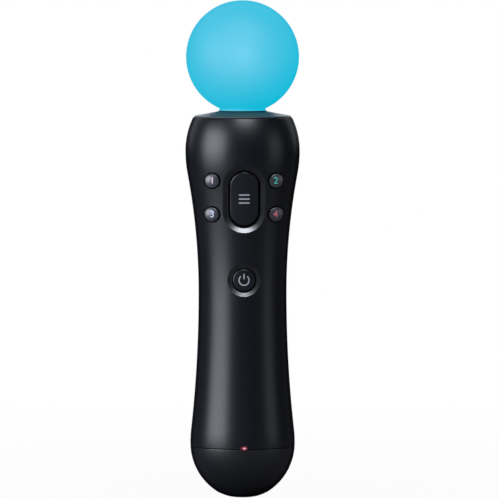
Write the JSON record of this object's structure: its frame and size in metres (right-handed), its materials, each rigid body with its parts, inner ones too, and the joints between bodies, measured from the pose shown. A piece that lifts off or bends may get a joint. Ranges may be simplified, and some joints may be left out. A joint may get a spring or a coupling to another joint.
{
  "type": "motion controller wand",
  "caption": "Hand-held motion controller wand: black handle with front buttons, rear trigger, sockets in its base and a glowing ball on its head.",
  "frame": {"origin": "centre of the flat foot at the lower end", "axes": "+Z along the handle towards the glowing ball, -Y out of the side with the buttons, +X to the right as the buttons are seen"},
  "size_m": [0.046, 0.0496, 0.2],
  "materials": {
    "casing_black": "fine-grained satin moulded ABS",
    "collar_black": "satin moulded ABS",
    "ball_glow": "soft translucent moulded rubber, lit from inside",
    "button_black": "satin moulded ABS",
    "button_gloss": "polished clear-coated plastic with a printed numeral",
    "trigger_black": "satin moulded ABS",
    "status_red": "clear red moulded lens",
    "steel": "bright zinc-plated",
    "spring_steel": "drawn wire",
    "tungsten": "sintered",
    "tin_plate": "tin-plated sheet",
    "gold_contact": "gold-plated",
    "board_green": "solder mask on glass-fibre board",
    "board_white": "white solder mask",
    "chip_black": "moulded epoxy and nylon",
    "chassis_grey": "moulded ABS",
    "lamp_base_grey": "moulded ABS",
    "keypad_rubber": "moulded silicone",
    "boot_rubber": "moulded rubber",
    "battery_wrap": "pouch cell in shrink wrap",
    "flex_amber": "polyimide film",
    "lamp_yellow": "epoxy over a light-emitting diode",
    "guide_clear": "clear moulded acrylic"
  },
  "bodies": {
    "handle": {"antenna": "tin_plate", "battery": "battery_wrap", "battery_contacts": "gold_contact", "board_screws": "steel", "case_screws": "steel", "charge_contacts": "gold_contact", "chassis": "chassis_grey", "collar": "collar_black", "data_socket": "tin_plate", "data_tongue": "chip_black", "end_cap": "casing_black", "ext_contacts": "gold_contact", "ext_socket": "chip_black", "front_shell": "casing_black", "keypad": "keypad_rubber", "lamp": "lamp_yellow", "lamp_base": "lamp_base_grey", "lamp_board": "board_white", "lamp_ribbon": "flex_amber", "lamp_screws": "steel", "light_ball": "ball_glow", "light_guide": "guide_clear", "main_board": "board_green", "motion_sensors": "chip_black", "motor": "tin_plate", "motor_boot": "boot_rubber", "port_board": "board_green", "port_ribbon": "flex_amber", "processor": "chip_black", "radio_shield": "tin_plate", "rear_shell": "casing_black", "side_switches": "chip_black", "status_lens": "status_red", "strap_bar": "steel", "trigger_board": "board_green", "trigger_dome": "keypad_rubber", "trigger_pin": "steel", "trigger_spring": "spring_steel"},
    "oval_button": {"oval_button": "button_black"},
    "round_button_1": {"round_button_1": "button_gloss"},
    "round_button_2": {"round_button_2": "button_gloss"},
    "round_button_3": {"round_button_3": "button_gloss"},
    "round_button_4": {"round_button_4": "button_gloss"},
    "home_button": {"home_button": "button_black"},
    "left_button": {"left_button": "button_black"},
    "right_button": {"right_button": "button_black"},
    "trigger": {"trigger": "trigger_black"},
    "motor_rotor": {"motor_shaft": "steel", "motor_weight": "tungsten"}
  },
  "joints": [
    {"name": "oval_press", "type": "slide", "parent": "handle", "child": "oval_button", "axis": [0, 1, 0], "range_m": [0, 0.0008], "stiffness_N_per_m": 900, "springref_m": -0.0005, "deforming": ["keypad"]},
    {"name": "round_press_1", "type": "slide", "parent": "handle", "child": "round_button_1", "axis": [0, 1, 0], "range_m": [0, 0.0007], "stiffness_N_per_m": 900, "springref_m": -0.0005, "deforming": ["keypad"]},
    {"name": "round_press_2", "type": "slide", "parent": "handle", "child": "round_button_2", "axis": [0, 1, 0], "range_m": [0, 0.0007], "stiffness_N_per_m": 900, "springref_m": -0.0005, "deforming": ["keypad"]},
    {"name": "round_press_3", "type": "slide", "parent": "handle", "child": "round_button_3", "axis": [0, 1, 0], "range_m": [0, 0.0007], "stiffness_N_per_m": 900, "springref_m": -0.0005, "deforming": ["keypad"]},
    {"name": "round_press_4", "type": "slide", "parent": "handle", "child": "round_button_4", "axis": [0, 1, 0], "range_m": [0, 0.0007], "stiffness_N_per_m": 900, "springref_m": -0.0005, "deforming": ["keypad"]},
    {"name": "home_press", "type": "slide", "parent": "handle", "child": "home_button", "axis": [0, 1, 0], "range_m": [0, 0.0006], "stiffness_N_per_m": 900, "springref_m": -0.0005, "deforming": ["keypad"]},
    {"name": "left_press", "type": "slide", "parent": "handle", "child": "left_button", "axis": [1, 0, 0], "range_m": [0, 0.0005], "stiffness_N_per_m": 1200, "springref_m": -0.0005},
    {"name": "right_press", "type": "slide", "parent": "handle", "child": "right_button", "axis": [-1, 0, 0], "range_m": [0, 0.0005], "stiffness_N_per_m": 1200, "springref_m": -0.0005},
    {"name": "trigger_pull", "type": "hinge", "parent": "handle", "child": "trigger", "pos_m": [0, 0.01513, 0.1415], "axis": [-1, 0, 0], "range_deg": [0, 11], "stiffness_Nm_per_rad": 0.15, "springref_deg": -6.88, "deforming": ["trigger_spring", "trigger_dome"]},
    {"name": "motor_spin", "type": "hinge", "parent": "handle", "child": "motor_rotor", "pos_m": [0.00517, 0.0022, 0.101], "axis": [1, 0, 0], "continuous": true}
  ]
}
